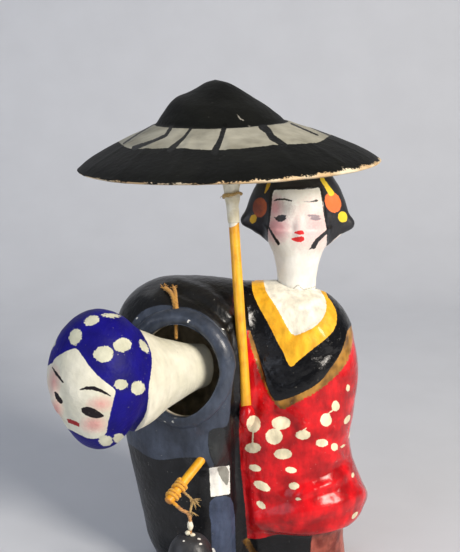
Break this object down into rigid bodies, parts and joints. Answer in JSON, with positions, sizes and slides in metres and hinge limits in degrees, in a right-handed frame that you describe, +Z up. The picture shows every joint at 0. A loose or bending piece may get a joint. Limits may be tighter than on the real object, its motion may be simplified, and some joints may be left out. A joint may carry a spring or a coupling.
{
  "type": "papier-mache figure",
  "caption": "Papier-mache couple under an umbrella: a bowed man with a nodding head on a string, a lady in a red robe, and a small lantern hanging from a stick.",
  "frame": {"origin": "on the flat underside of the robes, under the place where the two robes meet", "axes": "+Z up, -Y towards the viewer of the faces, +X from the bowed man towards the lady"},
  "size_m": [0.1247, 0.1156, 0.2015],
  "materials": {
    "painted_robes": "painted papier-mache, black, slate and red with cream dots, glossy in places",
    "painted_face": "white ground with painted hair, scarf and features",
    "black_canopy": "black paint with a grey-white band and a worn edge",
    "yellow_stick": "yellow paint on a round wooden skewer",
    "white_paste": "rough white paste and paper",
    "twine": "twisted natural twine, painted in places",
    "black_lantern": "dark paint with white specks"
  },
  "bodies": {
    "figure": {"couple_body": "painted_robes", "head_cord": "twine", "lady_head": "painted_face", "umbrella_canopy": "black_canopy", "umbrella_pole": "yellow_stick", "umbrella_collar": "white_paste", "lantern_stick": "yellow_stick", "twine_winding_lower": "twine", "twine_winding_upper": "twine", "lantern_twine": "twine", "lantern": "black_lantern"},
    "nodding_head": {"bowing_head": "painted_face"}
  },
  "joints": [
    {"name": "head_nod", "type": "hinge", "parent": "figure", "child": "nodding_head", "pos_m": [-0.025, -0.016, 0.102], "axis": [-0.608, 0.794, 0], "range_deg": [-5, 5]}
  ]
}
